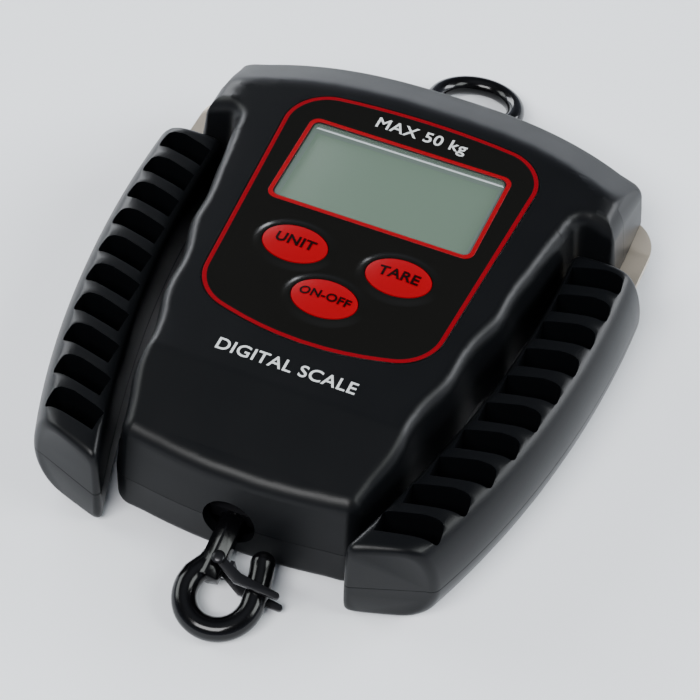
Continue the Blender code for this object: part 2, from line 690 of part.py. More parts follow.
def rear_hollow():
    """Room inside the rear shell of the handle."""
    sections = []
    for y in (1, -8, -20, -32, -44, -54):
        a, b = handle_in(y) + WALL, handle_out(y) - WALL - 1
        sections.append([(a, y, HANDLE_Z[0] + WALL), (a, y, 12), (b, y, 12), (b - 3, y, HANDLE_Z[0] + WALL)])
    return loft(sections)


def handle_screws():
    for y in (14.0, -50.0):
        yield (handle_in(y) + handle_out(y)) / 2, y


def make_handle():
    """The right handle's two shells."""
    front, rear = handle_block(), handle_block()
    cut(front, box((-FAR, FAR), (-FAR, FAR), (-FAR, SEAM_Z + GAP / 2)))
    cut(rear, box((-FAR, FAR), (-FAR, FAR), (SEAM_Z - GAP / 2, FAR)))
    for i in range(SLOTS):
        cut(front, grip_slot(i))
    cut(front, tongue_clearance())
    cut(rear, tongue_clearance(), rear_hollow())
    x, y = list(handle_screws())[1]
    join(rear, upright(x, y, HANDLE_Z[0] + 1, SEAM_Z - GAP / 2, 2.9, 16))
    for x, y in handle_screws():
        cut(front, upright(x, y, 0, 12.2, SCREW_R + 0.1, 12))
        cut(rear, upright(x, y, -1, 12, SCREW_R + GAP, 12))
        cut(rear, upright(x, y, -1, HANDLE_Z[0] + HEAD_DEPTH + 2 * GAP, HEAD_R + GAP, 16))
    return front, rear


def make_arm():
    px, py = ARM_PIVOT
    arm = upright(px, py, *ARM_Z, ARM_R, 48)
    join(arm, box((ARM_IN, px + ARM_R), (ARM_TIP_Y, py), ARM_Z))
    cut(arm, upright(px, py, 0, 20, PIVOT_R + 0.15, 20))
    x, y = next(handle_screws())
    cut(arm, upright(x, y, 0, 20, SCREW_R + GAP, 12))
    return arm


def make_right_side():
    """Everything that the right handle carries, and the pin it folds on."""
    front, rear = make_handle()
    pin = upright(*ARM_PIVOT, 4.0, 16.6, PIVOT_R, 20)
    pieces = {"handle_front": (front, "grip"), "handle_rear": (rear, "grip"),
              "arm": (make_arm(), "bare_steel"),
              "pivot_pin": (pin, "steel")}
    for i, (x, y) in enumerate(handle_screws()):
        pieces[f"handle_screw_{i + 1}"] = (screw(x, y, HANDLE_Z[0] + 0.3, 12.0), "steel")
    return pieces


def mirror_copy(obj):
    twin = copy_of(obj)
    twin.data.transform(Matrix.Scale(-1, 4, (1, 0, 0)))
    twin.data.flip_normals()
    return twin


# ------------------------------------------------------------------ power and fasteners

def screw(x, y, low, high, head=HEAD_DEPTH, shank=SCREW_R):
    return turned(x, y, ((shank, high), (shank, low + head), (HEAD_R, low + head), (HEAD_R, low + 0.3),
                         (HEAD_R - 0.3, low)), 12)


def make_power():
    door = box((-DOOR_HALF, DOOR_HALF), DOOR_Y, (0, DOOR_THICK))
    y = DOOR_Y[1] - 3.4
    cut(door, upright(0, y, -1, 3, 0.9 + GAP, 12), upright(0, y, -1, 1.0, HEAD_R + GAP, 16))
    finish(door, "battery_door", "housing")
    finish(screw(0, y, 0.1, 4.0, 0.7, 0.8), "door_screw", "steel")
    for side, name in ((-1, "left"), (1, "right")):
        x = side * BATTERY_X
        low, high = BATTERY_Y - BATTERY_LONG / 2, BATTERY_Y + BATTERY_LONG / 2 - 1
        cell = join(rod((x, low, BATTERY_Z), (x, high, BATTERY_Z), BATTERY_R, 24),
                    rod((x, high - 1, BATTERY_Z), (x, high + 1, BATTERY_Z), 1.9, 16))
        finish(cell, name + "_battery", "battery")
    reach = BATTERY_LONG / 2 + 0.6
    for y, name in ((BATTERY_Y - reach, "lower"), (BATTERY_Y + reach, "upper")):
        strip = box((BATTERY_X - 4, BATTERY_X + 4), (y - 0.2, y + 0.2), (3.2, 12))
        join(strip, box((-BATTERY_X - 4, -BATTERY_X + 4), (y - 0.2, y + 0.2), (3.2, 12)))
        join(strip, box((-BATTERY_X, BATTERY_X), (y - 0.2, y + 0.2), (4.6, 5.2)))
        finish(strip, name + "_battery_contact", "steel")


# ------------------------------------------------------------------ assembly

for thing in list(bpy.data.objects):
    bpy.data.objects.remove(thing, do_unlink=True)

parts = bpy.data.collections.new("hanging_scale")
cutters = bpy.data.collections.new("cutters")
for group in (parts, cutters):
    bpy.context.scene.collection.children.link(group)

materials = {
    "housing": material("housing", (0.02, 0.021, 0.024), 0.5),
    "overlay": material("overlay", (0.008, 0.008, 0.01), 0.2),
    "window": material("window", (0.75, 0.8, 0.75), 0.05, alpha=0.35),
    "lcd": material("lcd", (0.24, 0.31, 0.24), 0.3),
    "button": material("button", (0.85, 0.01, 0.01), 0.35),
    "grip": material("grip", (0.02, 0.021, 0.024), 0.55),
    "bare_steel": material("bare_steel", (0.55, 0.52, 0.47), 0.35, 1.0),
    "steel": material("steel", (0.6, 0.6, 0.6), 0.3, 1.0),
    "hook": material("hook", (0.01, 0.01, 0.012), 0.15),
    "latch": material("latch", (0.04, 0.04, 0.045), 0.3, 1.0),
    "aluminium": material("aluminium", (0.7, 0.7, 0.72), 0.35, 1.0),
    "board": material("board", (0.02, 0.18, 0.05), 0.5),
    "switch": material("switch", (0.08, 0.08, 0.08), 0.4),
    "gauge": material("gauge", (0.6, 0.35, 0.1), 0.4),
    "battery": material("battery", (0.1, 0.1, 0.35), 0.35),
}

make_covers()
make_overlay()
make_display()
for label, spot in BUTTONS.items():
    make_button(label, spot)
make_load_cell()
make_yoke("hook", HOOK_PIN_Y, HOOK_DROOP, -1)
make_hook()
make_latch()
make_yoke("ring", RING_PIN_Y, -RING_DROOP, 1)
make_ring()
for label, (piece, kind) in make_right_side().items():
    left = finish(mirror_copy(piece), "left_" + label, kind)
    right = finish(piece, "right_" + label, kind)
    turns_about(left, -ARM_PIVOT[0], ARM_PIVOT[1])
    turns_about(right, *ARM_PIVOT)
make_power()
for number, (sx, sy) in enumerate(screw_places()):
    finish(screw(sx, sy, 0.2, 17.0), f"cover_screw_{number + 1}", "steel")
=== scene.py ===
"""Looks of the handheld hanging scale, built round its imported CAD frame.

The scale lies on its back: +X to its right, +Y towards the ring, +Z out of its face.
Lengths are millimetres; the helpers turn them into metres.
"""
import math

import bmesh
import bpy
from mathutils import Matrix, Vector


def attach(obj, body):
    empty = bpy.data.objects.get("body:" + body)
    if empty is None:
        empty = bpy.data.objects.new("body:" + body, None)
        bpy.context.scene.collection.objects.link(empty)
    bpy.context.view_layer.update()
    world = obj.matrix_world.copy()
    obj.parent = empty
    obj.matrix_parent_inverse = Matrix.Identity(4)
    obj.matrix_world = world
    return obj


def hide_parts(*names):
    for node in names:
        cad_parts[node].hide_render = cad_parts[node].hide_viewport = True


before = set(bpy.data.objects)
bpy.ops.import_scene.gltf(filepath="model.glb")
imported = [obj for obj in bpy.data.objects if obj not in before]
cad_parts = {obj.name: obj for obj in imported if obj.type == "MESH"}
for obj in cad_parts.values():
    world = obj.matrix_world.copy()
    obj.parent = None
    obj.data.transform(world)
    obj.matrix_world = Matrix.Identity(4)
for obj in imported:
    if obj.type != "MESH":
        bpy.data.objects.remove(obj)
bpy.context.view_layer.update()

MM = 0.001
GAP = 0.3                      # clearance between neighbouring pieces
FAR = 200.0

# Body
DEPTH = 28.0                   # back to face
WALL = 2.2
SEAM_Z = 10.0                  # joint between the covers
SEAM_GAP = 0.1
TOP_Y, BOTTOM_Y = 61.7, -59.8
BOTTOM_BOW = 2.3               # how far the bottom wall curves back at its corners
ARCH_HALF, ARCH_DROP, ARCH_POWER = 45.8, 9.0, 2.6
ROLL_Y, ROLL_ARCH, ROLL_SLOPE, ROLL_EASE = 45.5, 10.5, 0.52, 4.0   # the face rolls off to the top,
SIDE_ROLL_X, SIDE_ROLL = 40.5, 0.08                  # to the outer sides of the shoulders
LOBE_Y = 29.75                 # lower end of each shoulder
LOBE_FILLET, LOBE_CORNER = 2.0, 2.4                  # radii where it meets the ridge and the outer side
CHIN_Y, CHIN_SLOPE, CHIN_EASE = -37.0, 0.27, 1.2     # and slopes down to the bottom
FACE_ROUND_Z, FACE_ROUND = 23.8, 2.8                 # where the face's rounded edge starts, and its width
BACK_ROUND = 2.5

# Face
DISPLAY_Y = 22.0
WINDOW = (44.4, 23.8)
WINDOW_ROUND = 1.6
OVERLAY_THICK = 0.5
OVERLAY_TOP, OVERLAY_BOTTOM = 44.0, -25.8
OVERLAY_HALF_TOP, OVERLAY_HALF_BOTTOM = 29.0, 26.4
OVERLAY_CORNER = 10.5
BORDER_INSET, BORDER_WIDE = 0.2, 0.9
BUTTON_HALF = (7.1, 5.0)
BUTTON_RISE = 1.1
WORD_PROUD = 0.05              # a key's cap lies this far below its printed word
BUTTONS = {"unit": (-11.5, -1.6), "tare": (11.5, -1.6), "power": (0.0, -13.1)}
WORDS = {"unit": ("UNIT", 3.6), "tare": ("TARE", 3.6), "power": ("ON-OFF", 2.9)}
SKIRT_Z = DEPTH - WALL - GAP   # top of the flange that keeps a button in
RING_HALF = (9.6, 7.0)         # embossed ring round a button
BOARD_TOP_Z = 20.6

# Ring and hook
HOOK_PIN_Y, RING_PIN_Y = -50.5, 51.6
NECK_R = 1.7
HOOK_DROOP, RING_DROOP = math.radians(14.8), math.radians(13.2)
HOOK_HOLE_R, RING_HOLE_R = 5.6, 4.9
HEX_R, HEX_END = 2.77, 20.4    # corner radius and end of the hexagonal shank
HOOK_WIRE_R = 2.5
BOWL, BOWL_R = (3.9, 22.8), 6.9
RING_WIRE_R, RING_R, RING_CENTRE = 2.1, 9.5, 25.7
LATCH_PIVOT, LATCH_END = (1.5, 16.6), (15.0, 19.9)
LATCH_Z = (2.75, 3.55)
LATCH_WIDE = 1.8
RIVET_R = 0.7

# Handles
ARM_PIVOT = (43.5, 41.5)
ARM_R = 9.7
ARM_Z = (9.0, 11.0)
ARM_IN, ARM_TIP_Y = 42.4, 6.0
PIVOT_R = 2.2
HANDLE_Z = (0.5, 22.5)
HANDLE_Y = (-63.5, 26.2)
HANDLE_IN, HANDLE_IN_BOW, HANDLE_IN_Y = 40.3, 0.00226, 19.0
HANDLE_OUT, HANDLE_OUT_BOW, HANDLE_OUT_Y = 56.9, 0.00214, 18.0
HANDLE_END_ROUND = 1.8
HANDLE_TILT = 0.29             # slope of the bottom end
SLOTS, SLOT_TOP, SLOT_PITCH, SLOT_LONG = 10, 21.53, 8.3, 5.2
SLOT_RISE = 0.22               # the slots climb outwards
SLOT_FLOOR_Z = 13.0

# Power and fasteners
DOOR_HALF, DOOR_Y, DOOR_THICK = 19.2, (-51.5, -8.0), 1.8
COVER_SCREWS = ((27.0, 46.5), (25.0, -33.0))
SCREW_R, HEAD_R, HEAD_DEPTH = 1.3, 2.5, 1.5


# ------------------------------------------------------------------ scene helpers

def add_mesh(bm, name="tool"):
    """Turn a bmesh in millimetres into an object in metres."""
    bmesh.ops.recalc_face_normals(bm, faces=bm.faces)
    bmesh.ops.scale(bm, vec=(MM, MM, MM), verts=bm.verts)
    mesh = bpy.data.meshes.new(name)
    bm.to_mesh(mesh)
    bm.free()
    return link(bpy.data.objects.new(name, mesh))


def link(obj):
    bpy.context.scene.collection.objects.link(obj)
    return obj


def add(obj, name, body, mat, replaced=(), sharp=40):
    """Name a finished piece, give it a material and let it ride a body of the frame."""
    obj.name = obj.data.name = name
    obj.data.materials.clear()
    obj.data.materials.append(materials[mat])
    obj.data.shade_smooth()
    obj.data.set_sharp_from_angle(angle=math.radians(sharp))
    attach(obj, body)
    if replaced:
        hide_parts(*replaced)
    return obj


def bake(obj):
    """Replace an object's mesh by its evaluated mesh."""
    graph = bpy.context.evaluated_depsgraph_get()
    mesh = bpy.data.meshes.new_from_object(obj.evaluated_get(graph))
    obj.modifiers.clear()
    obj.data = mesh
    return obj


def even(obj):
    """Let large faces set the shading, so that roundings don't streak into them."""
    mod = obj.modifiers.new("even", "WEIGHTED_NORMAL")
    mod.keep_sharp = True
    return bake(obj)


def combine(obj, tool, operation):
    """Boolean an object with a tool, which is used up."""
    mod = obj.modifiers.new("tool", "BOOLEAN")
    mod.operation = operation
    mod.object = tool
    bake(obj)
    bpy.data.objects.remove(tool, do_unlink=True)


def cut(obj, *tools):
    for tool in tools:
        combine(obj, tool, "DIFFERENCE")
    return obj


def join(obj, *tools):
    for tool in tools:
        combine(obj, tool, "UNION")
    return obj


def copy_of(obj):
    twin = obj.copy()
    twin.data = obj.data.copy()
    return link(twin)


def mirror_copy(obj):
    twin = copy_of(obj)
    twin.data.transform(Matrix.Scale(-1, 4, (1, 0, 0)))
    twin.data.flip_normals()
    return twin


def round_edges(obj, width, segments=2, angle=40):
    mod = obj.modifiers.new("round", "BEVEL")
    mod.width = width * MM
    mod.segments = segments
    mod.limit_method = "ANGLE"
    mod.angle_limit = math.radians(angle)
    mod.use_clamp_overlap = True
    return bake(obj)


# ------------------------------------------------------------------ shapes

def solid_from(curve, place=(0, 0, 0)):
    """Make a curve a closed mesh, standing at a place."""
    source = link(bpy.data.objects.new("curve", curve))
    source.location = Vector(place) * MM
    graph = bpy.context.evaluated_depsgraph_get()
    mesh = bpy.data.meshes.new_from_object(source.evaluated_get(graph))
    mesh.transform(source.matrix_world)
    bpy.data.objects.remove(source, do_unlink=True)
    bm = bmesh.new()
    bm.from_mesh(mesh)
    bpy.data.meshes.remove(mesh)
    bmesh.ops.remove_doubles(bm, verts=bm.verts, dist=0.000002)
    bmesh.ops.scale(bm, vec=(1 / MM, 1 / MM, 1 / MM), verts=bm.verts)
    return add_mesh(bm)


def spline_through(curve, points, closed):
    spline = curve.splines.new("POLY")
    spline.points.add(len(points) - 1)
    for point, place in zip(spline.points, points):
        point.co = (*(Vector(place) * MM), 1)
    spline.use_cyclic_u = closed


def prism(outline, low, high, hole=None):
    """A flat outline with a thickness, and if asked a hole through it."""
    curve = bpy.data.curves.new("outline", "CURVE")
    curve.dimensions = "2D"
    curve.fill_mode = "BOTH"
    curve.extrude = (high - low) / 2 * MM
    spline_through(curve, [(x, y, 0) for x, y in outline], closed=True)
    if hole:
        spline_through(curve, [(x, y, 0) for x, y in hole], closed=True)
    return solid_from(curve, (0, 0, (low + high) / 2))


def box(x, y, z):
    bm = bmesh.new()
    bmesh.ops.create_cube(bm, size=1.0)
    size = Vector((x[1] - x[0], y[1] - y[0], z[1] - z[0]))
    bmesh.ops.scale(bm, vec=size, verts=bm.verts)
    bmesh.ops.translate(bm, vec=Vector((x[0], y[0], z[0])) + size / 2, verts=bm.verts)
    return add_mesh(bm)


def rod(start, end, radius, sides=20):
    a, b = Vector(start), Vector(end)
    turn = Vector((0, 0, 1)).rotation_difference(b - a).to_matrix().to_4x4()
    place = Matrix.Translation((a + b) / 2) @ turn
    bm = bmesh.new()
    bmesh.ops.create_cone(bm, cap_ends=True, segments=sides, radius1=radius, radius2=radius,
                          depth=(b - a).length, matrix=place)
    return add_mesh(bm)


def upright(x, y, low, high, radius, sides=20):
    return rod((x, y, low), (x, y, high), radius, sides)


def loft(sections):
    """Skin over closed sections with equal counts of points, capped at both ends."""
    bm = bmesh.new()
    rings = [[bm.verts.new(p) for p in section] for section in sections]
    for a, b in zip(rings, rings[1:]):
        for i in range(len(a)):
            j = (i + 1) % len(a)
            bm.faces.new((a[i], a[j], b[j], b[i]))
    bm.faces.new(rings[0])
    bm.faces.new(rings[-1])
    return add_mesh(bm)


def turned(x, y, profile, sides=16, stretch=1.0):
    """A solid of revolution about a vertical line, from radius and height pairs, top to bottom."""
    mesh = bpy.data.meshes.new("profile")
    rim = [(0, profile[0][1])] + list(profile) + [(0, profile[-1][1])]
    mesh.from_pydata([(r * MM, 0, z * MM) for r, z in rim], [(i, i + 1) for i in range(len(rim) - 1)], [])
    obj = link(bpy.data.objects.new("turned", mesh))
    mod = obj.modifiers.new("turn", "SCREW")
    mod.steps = mod.render_steps = sides
    mod.use_merge_vertices = True
    mod.merge_threshold = 0.00001
    bake(obj)
    obj.data.transform(Matrix.Translation((x * MM, y * MM, 0)) @ Matrix.Diagonal((1, stretch, 1, 1)))
    return obj


def wire(points, radius, closed=False, resolution=6):
    """A round wire along a list of points."""
    curve = bpy.data.curves.new("wire", "CURVE")
    curve.dimensions = "3D"
    curve.bevel_depth = radius * MM
    curve.bevel_resolution = resolution
    curve.use_fill_caps = True
    spline_through(curve, points, closed)
    return solid_from(curve)


def arc(centre, radius, start, end, steps):
    turns = [math.radians(start + (end - start) * i / steps) for i in range(steps + 1)]
    return [(centre[0] + radius * math.cos(t), centre[1] + radius * math.sin(t)) for t in turns]


def ellipse(centre, a, b, steps=64):
    turns = [2 * math.pi * i / steps for i in range(steps)]
    return [(centre[0] + a * math.cos(t), centre[1] + b * math.sin(t)) for t in turns]


def rounded_box(centre, size, radius, steps=8):
    x, y = size[0] / 2 - radius, size[1] / 2 - radius
    points = []
    for sx, sy, start in ((1, 1, 0), (-1, 1, 90), (-1, -1, 180), (1, -1, 270)):
        points += arc((centre[0] + sx * x, centre[1] + sy * y), radius, start, start + 90, steps)
    return points


def mirrored(half):
    """Close a right half outline, top centre to bottom centre, with its mirror image."""
    return half + [(-x, y) for x, y in reversed(half[1:-1])]


def inset(outline, distance, share=lambda x, y: 1.0):
    """Move a clockwise outline inwards by a distance, or by a share of it."""
    moved = []
    for i, (x, y) in enumerate(outline):
        here = Vector((x, y))
        before = (here - Vector(outline[i - 1])).normalized()
        after = (Vector(outline[(i + 1) % len(outline)]) - here).normalized()
        n1, n2 = Vector((before.y, -before.x)), Vector((after.y, -after.x))
        normal = (n1 + n2).normalized()
        shift = normal * distance * share(x, y) / max(normal.dot(n1), 0.6)
        moved.append((x + shift.x, y + shift.y))
    return moved


def smoothed(points, rounds=2, closed=True):
    """Cut the corners of a line of points again and again."""
    for _ in range(rounds):
        pairs = list(zip(points, points[1:] + points[:1] if closed else points[1:]))
        cut_down = []
        for a, b in pairs:
            cut_down += [tuple(0.75 * p + 0.25 * q for p, q in zip(a, b)),
                         tuple(0.25 * p + 0.75 * q for p, q in zip(a, b))]
        points = cut_down if closed else [points[0]] + cut_down + [points[-1]]
    return points


def drooping(obj, y, droop):
    """Hang a piece that was built round its own cross pin from that pin."""
    obj.data.transform(Matrix.Translation((0, y * MM, SEAM_Z * MM)) @ Matrix.Rotation(droop, 4, "X"))
    return obj


# ------------------------------------------------------------------ materials

def shader_of(mat):
    return mat.node_tree.nodes["Principled BSDF"]


def material(name, colour, rough, metallic=0.0, grain=0.0, grain_mm=0.25, wander=0.0, gloss=0.5, streak=None):
    """A principled material with fine surface grain and roughness that wanders slightly."""
    mat = bpy.data.materials.new(name)
    mat.use_nodes = True
    nodes, links = mat.node_tree.nodes, mat.node_tree.links
    shader = shader_of(mat)
    shader.inputs["Base Color"].default_value = (*colour, 1.0)
    shader.inputs["Roughness"].default_value = rough
    shader.inputs["Metallic"].default_value = metallic
    shader.inputs["Specular IOR Level"].default_value = gloss
    place = nodes.new("ShaderNodeTexCoord")
    stretch = nodes.new("ShaderNodeMapping")
    stretch.inputs["Scale"].default_value = streak or (1, 1, 1)
    links.new(place.outputs["Object"], stretch.inputs["Vector"])
    if wander:
        cloud = nodes.new("ShaderNodeTexNoise")
        cloud.inputs["Scale"].default_value = 90.0
        cloud.inputs["Detail"].default_value = 3.0
        spread = nodes.new("ShaderNodeMapRange")
        spread.inputs["To Min"].default_value = rough - wander
        spread.inputs["To Max"].default_value = rough + wander
        links.new(stretch.outputs["Vector"], cloud.inputs["Vector"])
        links.new(cloud.outputs["Fac"], spread.inputs["Value"])
        links.new(spread.outputs["Result"], shader.inputs["Roughness"])
    if grain:
        noise = nodes.new("ShaderNodeTexNoise")
        noise.inputs["Scale"].default_value = 1.0 / (grain_mm * MM)
        noise.inputs["Detail"].default_value = 2.0
        bump = nodes.new("ShaderNodeBump")
        bump.inputs["Strength"].default_value = grain
        bump.inputs["Distance"].default_value = 0.02 * MM
        links.new(stretch.outputs["Vector"], noise.inputs["Vector"])
        links.new(noise.outputs["Fac"], bump.inputs["Height"])
        links.new(bump.outputs["Normal"], shader.inputs["Normal"])
    return mat


def clear(name, colour, rough, alpha):
    mat = material(name, colour, rough)
    shader_of(mat).inputs["Alpha"].default_value = alpha
    mat.surface_render_method = "BLENDED"
    return mat


materials = {
    "housing": material("housing", (0.0024, 0.0027, 0.0033), 0.38, grain=0.5, wander=0.04, gloss=0.17),
    "grip": material("grip", (0.0022, 0.0025, 0.0031), 0.34, grain=0.5, wander=0.05, gloss=0.17),
    "overlay": material("overlay", (0.0044, 0.0042, 0.0036), 0.18, grain=0.25, grain_mm=6.0, wander=0.03,
                        gloss=0.3),
    "red_line": material("red_line", (0.17, 0.0, 0.004), 0.22, wander=0.03),
    "frame_line": material("frame_line", (0.22, 0.0, 0.004), 0.40, wander=0.03, gloss=0.1),
    "white_print": material("white_print", (0.55, 0.57, 0.57), 0.4, wander=0.03),
    "dark_word": material("dark_word", (0.004, 0.001, 0.001), 0.45, wander=0.03, gloss=0.05),
    "button": material("button", (0.25, 0.0, 0.004), 0.40, grain=0.15, wander=0.04, gloss=0.08),
    "window": clear("window", (0.40, 0.55, 0.43), 0.04, 0.10),
    "lcd": material("lcd", (0.030, 0.047, 0.036), 0.35, grain=0.1, wander=0.05),
    "lcd_rim": material("lcd_rim", (0.60, 0.62, 0.68), 0.25, wander=0.03),
    # Lilac-grey for painted shadow on the display, where the window frame shades the LCD
    "lcd_painted_shade": material("lcd_painted_shade", (0.033, 0.030, 0.046), 0.35, wander=0.03),
    "board": material("board", (0.02, 0.18, 0.05), 0.45, grain=0.3, wander=0.05),
    "switch": material("switch", (0.04, 0.04, 0.04), 0.4, grain=0.3, wander=0.05),
    "bare_steel": material("bare_steel", (0.50, 0.44, 0.36), 0.42, 0.7, grain=0.6, wander=0.06,
                           streak=(0.2, 3.0, 1.0)),
    "steel": material("steel", (0.5, 0.5, 0.5), 0.3, 1.0, grain=0.3, wander=0.05),
    "hook": material("hook", (0.0018, 0.0018, 0.0022), 0.16, grain=0.15, grain_mm=1.2, wander=0.03,
                     gloss=0.3),
    "latch": material("latch", (0.012, 0.012, 0.014), 0.28, 0.6, grain=0.2, wander=0.05),
    "aluminium": material("aluminium", (0.6, 0.6, 0.62), 0.35, 1.0, grain=0.5, wander=0.05,
                          streak=(3.0, 0.2, 1.0)),
    "gauge": material("gauge", (0.5, 0.3, 0.08), 0.4, grain=0.2, wander=0.05),
    "battery": material("battery", (0.06, 0.06, 0.25), 0.3, 0.3, grain=0.1, wander=0.05),
}


# ------------------------------------------------------------------ body

def eased(past, ease):
    """A slope that sets in smoothly where past turns positive."""
    past = max(past, 0.0)
    return past ** 2 / (2 * ease) if past < ease else past - ease / 2


def rounding_share(x, y):
    """The face's edge is rounded less along the arched top."""
    return 1.0 - 0.55 * min(max((y - 47.0) / 5.0, 0.0), 1.0)


def arch_drop(x):
    return ARCH_DROP * (abs(x) / ARCH_HALF) ** ARCH_POWER


def side_x(y):
    """Half width of the waist: a taper with three gentle waves."""
    grown = min(max((17.0 - y) / 20.0, 0.0), 1.0)
    wave = 0.8 + 0.5 * math.cos(2 * math.pi * (y + 2.5) / 20.0)
    return 38.3 + 0.165 * (y - 17.0) + grown * wave


def body_outline():
    half = [(x, TOP_Y - arch_drop(x)) for x in range(0, 43, 2)]
    half += arc((43.9, 49.4), 4.7, 74, 8, 10)
    half += arc((44.4, 38.0), 4.4, 0, -90, 12)
    half += arc((42.0, 32.0), 1.6, 90, 170, 8)
    half += [(side_x(y), y) for y in range(28, -52, -1)]
    half += arc((22.3, -53.4), 4.6, -3, -78, 10)
    half += [(x, BOTTOM_Y + BOTTOM_BOW * (x / 24.0) ** 2) for x in (20, 17, 14, 11, 8, 5, 0)]
    return mirrored(half)


def body_levels():
    """Height and inset of the body's outline, from the back to the face."""
    turns = [math.radians(90 * i / 8) for i in range(9)]
    levels = [(BACK_ROUND * (1 - math.cos(t)), BACK_ROUND * (1 - math.sin(t))) for t in turns]
    levels += [(SEAM_Z, 0.0), (14.0, 0.35), (18.0, 0.7), (21.0, 1.05)]
    rise = DEPTH - FACE_ROUND_Z
    return levels + [(FACE_ROUND_Z + rise * math.sin(t), 1.4 + FACE_ROUND * (1 - math.cos(t))) for t in turns]


def hollow_outline():
    half = [(x, TOP_Y - WALL - arch_drop(x)) for x in (0, 8, 16, 23, 29, 34, 38, 41)]
    half += [(44.0, 50.0), (45.6, 46.0), (45.6, 36.5), (38.0, 35.0)]
    half += [(side_x(y) - WALL, y) for y in range(29, -54, -6)]
    half += [(19.0, BOTTOM_Y + WALL + 1.8), (10.0, BOTTOM_Y + WALL + 0.5), (0.0, BOTTOM_Y + WALL)]
    return mirrored(half)


def face_drop(x, y):
    """How far the face lies below its flat part."""
    roll = ROLL_SLOPE * eased(y + ROLL_ARCH * (abs(x) / ARCH_HALF) ** ARCH_POWER - ROLL_Y, ROLL_EASE)
    side = SIDE_ROLL * max(abs(x) - SIDE_ROLL_X, 0.0) ** 2
    return (roll ** 3 + side ** 3) ** (1 / 3) + CHIN_SLOPE * eased(CHIN_Y - y, CHIN_EASE)


def drape(obj, top, fine):
    """Bend a block's flat roof to the face, sharing the drop over the walls below."""
    bm = bmesh.new()
    bm.from_mesh(obj.data)
    step = 1.5 if fine else 4.0
    planes = [(y, True) for y in (CHIN_Y + 0.6, CHIN_Y - 0.4, CHIN_Y - 1.4)]
    planes += [(33.0 + step * i, True) for i in range(int(28 / step))]
    planes += [(side * x, False) for x in (8, 16, 23, 28, 32, 35, 38, 40, 42, 44) for side in (-1, 1)]
    for place, along in planes:
        roof = [f for f in bm.faces if f.normal.z > 0.98 and f.calc_center_median().z > (top - 0.1) * MM]
        geometry = roof + list({e for f in roof for e in f.edges}) + list({v for f in roof for v in f.verts})
        spot = (0, place * MM, 0) if along else (place * MM, 0, 0)
        bmesh.ops.bisect_plane(bm, geom=geometry, dist=1e-7, plane_co=spot,
                               plane_no=(0, 1, 0) if along else (1, 0, 0))
    for v in bm.verts:
        x, y, z = v.co / MM
        if z > SEAM_Z:
            v.co.z -= face_drop(x, y) * (z - SEAM_Z) / (top - SEAM_Z) * MM
    bmesh.ops.remove_doubles(bm, verts=bm.verts, dist=0.000001)
    bmesh.ops.triangulate(bm, faces=bm.faces)
    bm.to_mesh(obj.data)
    bm.free()
    return obj


def body_shells():
    outline = body_outline()
    block = loft([[(x, y, z) for x, y in inset(outline, d, rounding_share)] for z, d in body_levels()])
    join(block, shoulder_lobe(-1), shoulder_lobe(1))
    drape(block, DEPTH, fine=True)
    hollow = loft([[(x, y, z) for x, y in hollow_outline()] for z in (WALL, SEAM_Z, DEPTH - WALL)])
    for v in hollow.data.vertices:
        if v.co.z > (DEPTH - WALL - 0.1) * MM:
            v.co.x *= 0.95
            v.co.y *= 0.975
    drape(hollow, DEPTH - WALL, fine=False)
    cut(block, hollow)
    front, rear = block, copy_of(block)
    cut(front, box((-FAR, FAR), (-FAR, FAR), (-FAR, SEAM_Z + SEAM_GAP / 2)))
    cut(rear, box((-FAR, FAR), (-FAR, FAR), (SEAM_Z - SEAM_GAP / 2, FAR)))
    return front, rear


def shoulder_lobe(side):
    """A shoulder's blunt lower end beside the groove, filleted into the ridge."""
    sections = []
    for z, d in body_levels():
        corner = max(LOBE_CORNER - d, 0.3)
        outline = [(34.0, 43.0), (34.0, 25.0), (side_x(25.0) - d - 0.02, 25.0)]
        outline += arc((42.05, LOBE_Y - LOBE_FILLET), LOBE_FILLET + d, 180, 90, 8)
        outline += arc((48.79 - d - corner, LOBE_Y + d + corner), corner, -90, 0, 8)
        outline += [(48.68 - d, 43.0)]
        sections.append([(side * x, y, z) for x, y in outline[::side]])
    return loft(sections)


def arm_clearance(side):
    """The slot that an arm sweeps as its handle folds out."""
    px, py = ARM_PIVOT
    low, high = ARM_Z[0] - GAP, ARM_Z[1] + GAP
    slot = upright(side * px, py, low, high, ARM_R + GAP, 72)
    for x, y in ((ARM_IN - GAP, py), (px, py + ARM_R + GAP)):
        join(slot, box(sorted((side * x, side * 60.0)), (15.0, y), (low, high)))
    return slot


def screw_places():
    for x, y in COVER_SCREWS:
        yield from ((-x, y), (x, y))


